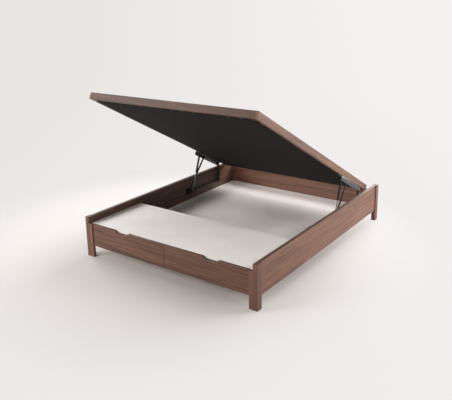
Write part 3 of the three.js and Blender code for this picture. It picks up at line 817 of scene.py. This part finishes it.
class BED_OT_lid(bpy.types.Operator):
    """The lid's four rim boards, its base panel and its hidden battens"""
    bl_idname = "bed.lid"
    bl_label = "Lid boards"

    def execute(self, context):
        for i, part in enumerate(("left", "right", "foot", "head")):
            name = f"lid_rim_{part}"
            grain = "Y" if part in SIDES else "X"
            shift = (0.2 * i, 0.35 * i, 0.5 * i)
            # The foot rim is darkened as painted shade, the other rims lightened a little as painted light
            painted_shade = LID_FOOT_SHADE if part == "foot" else LID_RIM_SHADE
            board = walnut_board(name, grain, shift, painted_shade, LID_TILT)
            dress_shells(name, [(lid_place(block(*lid_box(name))), board)], sizes().lid_edge_round)
        # The base panel under the lid is darkened a little as painted shade
        base = walnut_board("lid_base", "Y", (0.7, 0.3, 0.1), LID_BASE_SHADE, LID_TILT)
        dress_node("lid_base_panel", base, 0.0)
        pine = planed_timber("planed_pine_lid", "X", LID_TILT)
        dress_node("lid_batten_frame", pine, 0.0)
        dress_node("lid_top_board", pine, 0.0)
        return {"FINISHED"}


def rounded_rectangle(half, corner, spacing, steps=12):
    """Points round a rectangle with quarter-circle corners, no further apart than the spacing."""
    angles = np.radians(np.concatenate([np.linspace(q, q + 90, steps) for q in (0, 90, 180, 270)]))
    signs = np.repeat([(1, 1), (-1, 1), (-1, -1), (1, -1)], steps, axis=0)
    rim = signs * (half - corner) + corner * np.column_stack([np.cos(angles), np.sin(angles)])
    ahead = np.roll(rim, -1, axis=0) - rim
    counts = np.maximum(1, np.ceil(np.linalg.norm(ahead, axis=1) / spacing).astype(int))
    start = np.repeat(np.arange(len(rim)), counts)
    passed = np.repeat(np.cumsum(counts) - counts, counts)
    share = (np.arange(counts.sum()) - passed) / np.repeat(counts, counts)
    return rim[start] + ahead[start] * share[:, None]


def headings(rim, step):
    """Unit directions along a closed line of points, from the point a step behind to a step ahead."""
    ahead = np.roll(rim, -step, axis=0) - np.roll(rim, step, axis=0)
    return ahead / np.linalg.norm(ahead, axis=1, keepdims=True)


class BED_OT_lid_cloth(bpy.types.Operator):
    """The fabric top of the lid and the black lining of its underside"""
    bl_idname = "bed.lid_cloth"
    bl_label = "Lid fabric and lining"

    def execute(self, context):
        self.cloth = woven("woven_polyester_top", colours().fabric,
                           thread_mm=3.0, contrast=0.22, sheen=0.25, shine=0.4)
        self.make_top()
        self.make_welt()
        self.make_lining()
        self.make_staples()
        return {"FINISHED"}

    def make_top(self):
        """A grid over the top: its height is a crown, the product of two flat-topped humps
        1 - u^8, that turns down over the last few millimetres at the rim, by the root of the
        same product with the power 60."""
        low, high = lid_box("lid_top_fabric")
        columns, rows = 121, 161
        u, v = [np.sin(np.linspace(-1, 1, count) * math.pi / 2) for count in (columns, rows)]
        grid_u, grid_v = np.meshgrid(u, v)
        centre, half = (low + high) / 2, (high - low) / 2
        crown_power, rim_power, rim_share = 8, 60, 0.75
        hump = (1 - grid_u ** crown_power) * (1 - grid_v ** crown_power)
        edge = np.sqrt((1 - grid_u ** rim_power) * (1 - grid_v ** rim_power))
        thickness = high[2] - low[2]
        x = centre[0] + half[0] * grid_u
        y = centre[1] + half[1] * grid_v
        top_z = low[2] + thickness * (1 - rim_share + rim_share * edge) + sizes().fabric_crown * hump
        top = np.dstack([x, y, top_z]).reshape(-1, 3)
        bottom = np.dstack([x, y, np.full_like(x, low[2])]).reshape(-1, 3)
        index = np.arange(columns * rows).reshape(rows, columns)
        quads = np.dstack([index[:-1, :-1], index[:-1, 1:], index[1:, 1:], index[1:, :-1]]).reshape(-1, 4)
        offset = columns * rows
        border = np.concatenate([index[0, :-1], index[:-1, -1], index[-1, :0:-1], index[:0:-1, 0]])
        after = np.roll(border, -1)
        skirt = np.column_stack([border + offset, after + offset, after, border])
        faces = np.vstack([quads, quads[:, ::-1] + offset, skirt]).tolist()
        shell = lid_place((np.vstack([top, bottom]), faces))
        piece = dress_shells("lid_top_fabric", [(shell, self.cloth)])

    def make_welt(self):
        """The cord sewn round the fabric: a circle carried round a rounded rectangle."""
        low, high = lid_box("lid_top_fabric")
        radius = sizes().welt_radius
        inset = 9 * MM
        rim = rounded_rectangle((high - low)[:2] / 2 - inset, corner=14 * MM, spacing=30 * MM, steps=8)
        ahead = headings(rim, 1)
        outward = np.column_stack([ahead[:, 1], -ahead[:, 0]])
        turn = np.arange(10) * 2 * np.pi / 10
        flat = rim[:, None] + outward[:, None] * (radius * np.cos(turn))[:, None]
        centre = (low + high) / 2
        height = np.broadcast_to(high[2] + radius * np.sin(turn), flat.shape[:2])
        rings = np.dstack([flat + centre[:2], height])
        points, faces = loft(rings, pointed=False)
        shell = lid_place((points, [face[::-1] for face in faces]))
        make_piece("lid_welt", [(shell, self.cloth)], "lid_top_fabric")

    def make_lining(self):
        """Rings of the rounded outline shrink to the middle, and the height ripples by a product
        of slow sines that dies out at the stapled edge."""
        low, high = lid_box("lid_liner")
        rings = 26
        centre, half = (low + high) / 2, (high - low) / 2
        rim = rounded_rectangle(half[:2], corner=55 * MM, spacing=40 * MM)
        shrink = 1 - np.linspace(0, 0.98, rings)
        layers = rim * shrink[:, None, None]
        fade = np.clip((1 - shrink) * 6, 0, 1)[:, None]
        ripple = np.sin(layers[..., 0] * 9.0) * np.sin(layers[..., 1] * 7.0 + 0.6)
        ripple += 0.5 * np.sin(layers[..., 0] * 23.0 + layers[..., 1] * 11.0)
        depth = sizes().lining_sag * fade * (ripple * 0.4 + 0.55)
        place = centre[:2] + layers
        lower = np.dstack([place, low[2] - depth])
        upper = np.dstack([place, high[2] - depth * 0.2])
        points, faces = loft(np.vstack([upper[::-1], lower]))
        shell = lid_place((points, [face[::-1] for face in faces]))
        cloth = woven("spun_bonded_lining", colours().lining,
                      thread_mm=4.0, contrast=0.18, sheen=0.0, shine=0.15)
        piece = make_piece("lid_lining_dressed", [(shell, cloth)], "lid_liner")

    def make_staples(self):
        """Wire staples along the lining's edge: one small crown, set at every pitch."""
        low, high = lid_box("lid_liner")
        centre, half = (low + high) / 2, (high - low) / 2
        pitch, length = sizes().staple_pitch, sizes().staple_length
        inset, spacing = 9 * MM, 2 * MM
        rim = rounded_rectangle(half[:2] - inset, corner=46 * MM, spacing=spacing)
        spot = np.arange(0, len(rim), max(1, round(pitch / spacing)))
        ahead = headings(rim, 2)
        half_wire, proud, sunk = 0.6 * MM, 0.8 * MM, 0.2 * MM
        crown, faces = block((-length / 2, -half_wire, -proud), (length / 2, half_wire, sunk))
        wire = zinc_steel("galvanised_staple_wire")
        shells = []
        for place, (c, s) in zip(rim[spot], ahead[spot]):
            points = crown @ np.array([[c, s, 0], [-s, c, 0], [0, 0, 1]])
            points += [centre[0] + place[0], centre[1] + place[1], low[2]]
            shells.append((lid_place((points, faces)), wire))
        piece = make_piece("lid_staples", shells, "lid_liner")


# The camera that took the photograph, fitted to the legs, rails and lid
CAMERA_PLACE = (2.6536, -3.8765, 1.9461)
CAMERA_YAW = 0.62577
CAMERA_PITCH = 0.25122
CAMERA_ROLL = -0.01776
FOCAL_PIXELS = 602.49
HORIZON_SHIFT_PIXELS = -50


def camera_axes():
    """Right, up and back directions of a camera turned left by yaw, down by pitch, then rolled."""
    cy, sy = math.cos(CAMERA_YAW), math.sin(CAMERA_YAW)
    cp, sp = math.cos(CAMERA_PITCH), math.sin(CAMERA_PITCH)
    ahead = Vector((-sy * cp, cy * cp, -sp))
    level = Vector((cy, sy, 0))
    upright = level.cross(ahead)
    cr, sr = math.cos(CAMERA_ROLL), math.sin(CAMERA_ROLL)
    return cr * level + sr * upright, -sr * level + cr * upright, -ahead


# The paper's shading fades out between two distances from a point near the bed's shadow
FADE_CENTRE = (-0.35, -0.35, 0)
FADE_RANGE = (0.9, 2.1)
# Its glow runs from a darker left to a lighter right along this direction, over these metres, as a painted
# falloff of the light
GLOW_DIRECTION = (0.81, 0.586, 0)
GLOW_RANGE = (-3.5, 3.5)


class BED_OT_stage(bpy.types.Operator):
    """Pale studio floor swept up behind the bed, soft lamps and the camera"""
    bl_idname = "bed.stage"
    bl_label = "Studio stage"

    def execute(self, context):
        self.make_camera()
        self.make_backdrop()
        self.make_lamps()
        return {"FINISHED"}

    def make_camera(self):
        data = bpy.data.cameras.new("camera")
        data.sensor_width = 36
        data.lens = FOCAL_PIXELS / IMAGE_WIDTH * data.sensor_width
        data.shift_y = HORIZON_SHIFT_PIXELS / IMAGE_WIDTH
        data.clip_end = 100
        camera = new_object("camera", data)
        turn = Matrix(camera_axes()).transposed()
        camera.matrix_world = Matrix.Translation(CAMERA_PLACE) @ turn.to_4x4()
        bpy.context.scene.camera = camera

    def make_backdrop(self):
        """A floor disc whose rim sweeps up into a wall: first flat, then r sin(a) out and r (1 - cos(a))
        up for a quarter circle, then straight up."""
        rings, spokes = 60, 96
        flat_radius, sweep, wall = 7.0, 3.0, 6.0
        along = np.linspace(0, flat_radius + sweep * math.pi / 2 + wall, rings)
        past = np.clip((along - flat_radius) / sweep, 0, math.pi / 2)
        rise = np.clip(along - flat_radius - sweep * math.pi / 2, 0, None)
        radius = np.minimum(along, flat_radius) + sweep * np.sin(past)
        height = sweep * (1 - np.cos(past)) + rise
        circles = [ring(r, z, sides=spokes) for r, z in zip(radius[1:], height[1:])]
        points = np.vstack([[0, 0, 0], *circles])
        index = np.arange((rings - 1) * spokes).reshape(rings - 1, spokes) + 1
        after = np.roll(index, -1, axis=1)
        quads = np.dstack([index[:-1], index[1:], after[1:], after[:-1]]).reshape(-1, 4).tolist()
        fan = np.column_stack([np.zeros(spokes, int), index[0], after[0]]).tolist()
        mesh = bpy.data.meshes.new("backdrop")
        mesh.from_pydata(points.tolist(), [], fan + quads)
        mesh.update()
        mesh.shade_smooth()
        mesh.materials.append(self.backdrop_paper())
        backdrop = new_object("backdrop", mesh)

    def backdrop_paper(self):
        """Matt pale studio paper. It takes the bed's shadow, and further out the eye and the glossy
        fittings see a glow in its place, painted darker on the left and lighter on the right as a falloff of
        the light."""
        made, tree, shader = new_material("pale_studio_paper", {
            "Base Color": colours().floor, "Roughness": 0.9, "Specular IOR Level": 0.2,
        })
        place = object_place(tree)
        reach = node(tree, "ShaderNodeVectorMath", {"operation": "DISTANCE", 1: FADE_CENTRE}, {0: place})
        fade = remapped(tree, (reach, "Value"), start=FADE_RANGE, kind="SMOOTHSTEP")
        path = node(tree, "ShaderNodeLightPath")
        seen = node(tree, "ShaderNodeMath", {"operation": "MAXIMUM"},
                    {0: (path, "Is Camera Ray"), 1: (path, "Is Glossy Ray")})
        share = node(tree, "ShaderNodeMath", {"operation": "MULTIPLY"}, {0: fade, 1: (seen, "Value")})
        across = node(tree, "ShaderNodeVectorMath", {"operation": "DOT_PRODUCT", 1: GLOW_DIRECTION},
                      {0: place})
        # Painted light: the glow runs from a darker left to a lighter right
        from_left = remapped(tree, (across, "Value"), start=GLOW_RANGE)
        paper = ramped(tree, from_left, [(0, colours().backdrop_shaded_left), (1, colours().backdrop_lit_right)])
        glow = node(tree, "ShaderNodeEmission", {"Strength": 1.0}, {"Color": paper})
        mixed = node(tree, "ShaderNodeMixShader",
                     links={0: (share, "Value"), 1: (shader, "BSDF"), 2: (glow, "Emission")})
        output = next(n for n in tree.nodes if n.type == "OUTPUT_MATERIAL")
        feed(tree, (mixed, "Shader"), output, "Surface")
        return made

    def make_lamps(self):
        world = bpy.data.worlds.new("studio")
        bpy.context.scene.world = world
        world.use_nodes = True
        background = world.node_tree.nodes["Background"]
        background.inputs["Color"].default_value = (1, 1, 1, 1)
        background.inputs["Strength"].default_value = 0.07
        # Name, place, point that it faces, side in metres, power in watts
        lamps = (
            ("softbox_back_right_low", (3.0, 2.6, 1.5), (0.2, 0.2, 0.3), 2.0, 62),
            ("softbox_back_right", (4.2, 2.6, 3.2), (0.0, 0.3, 0.2), 2.4, 122),
            ("softbox_back", (0.3, 4.8, 3.4), (0.0, 0.2, 0.2), 3.0, 295),
            ("softbox_overhead", (0.3, -0.4, 4.4), (0.0, -0.2, 0.0), 3.0, 46),
            ("softbox_left", (-4.6, 0.4, 2.8), (0.0, 0.0, 0.2), 2.4, 122),
            ("softbox_front_left", (-3.2, -4.5, 2.4), (0.0, -0.6, 0.3), 2.4, 192),
        )
        for name, place, target, side, power in lamps:
            data = bpy.data.lights.new(name, "AREA")
            data.shape = "SQUARE"
            data.size = side
            data.energy = power
            lamp = new_object(name, data)
            lamp.location = place
            lamp.rotation_euler = (Vector(target) - Vector(place)).to_track_quat("-Z", "Y").to_euler()
        bpy.context.scene.view_settings.view_transform = "Standard"


class BED_PT_panel(bpy.types.Panel):
    """Lists the bed's sizes, colours and operators"""
    bl_idname = "BED_PT_panel"
    bl_label = "Storage Bed"
    bl_space_type = "VIEW_3D"
    bl_region_type = "UI"
    bl_category = "Storage Bed"

    def draw(self, context):
        layout = self.layout
        for group in (context.scene.bed_sizes, context.scene.bed_colours):
            column = layout.column(align=True)
            for name in group.__annotations__:
                column.prop(group, name)
        for operator in OPERATORS:
            layout.operator(operator.bl_idname)


OPERATORS = (
    BED_OT_stage, BED_OT_legs, BED_OT_rails, BED_OT_drawers, BED_OT_cover,
    BED_OT_mechanism, BED_OT_lid, BED_OT_lid_cloth,
)
CLASSES = (BedSizes, BedColours, *OPERATORS, BED_PT_panel)


def register():
    for item in CLASSES:
        bpy.utils.register_class(item)
    bpy.types.Scene.bed_sizes = bpy.props.PointerProperty(type=BedSizes)
    bpy.types.Scene.bed_colours = bpy.props.PointerProperty(type=BedColours)


def unregister():
    del bpy.types.Scene.bed_sizes
    del bpy.types.Scene.bed_colours
    for item in reversed(CLASSES):
        bpy.utils.unregister_class(item)


def main():
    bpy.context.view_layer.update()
    register()
    for operator in OPERATORS:
        group, action = operator.bl_idname.split(".")
        getattr(getattr(bpy.ops, group), action)()


if __name__ == "__main__":
    main()
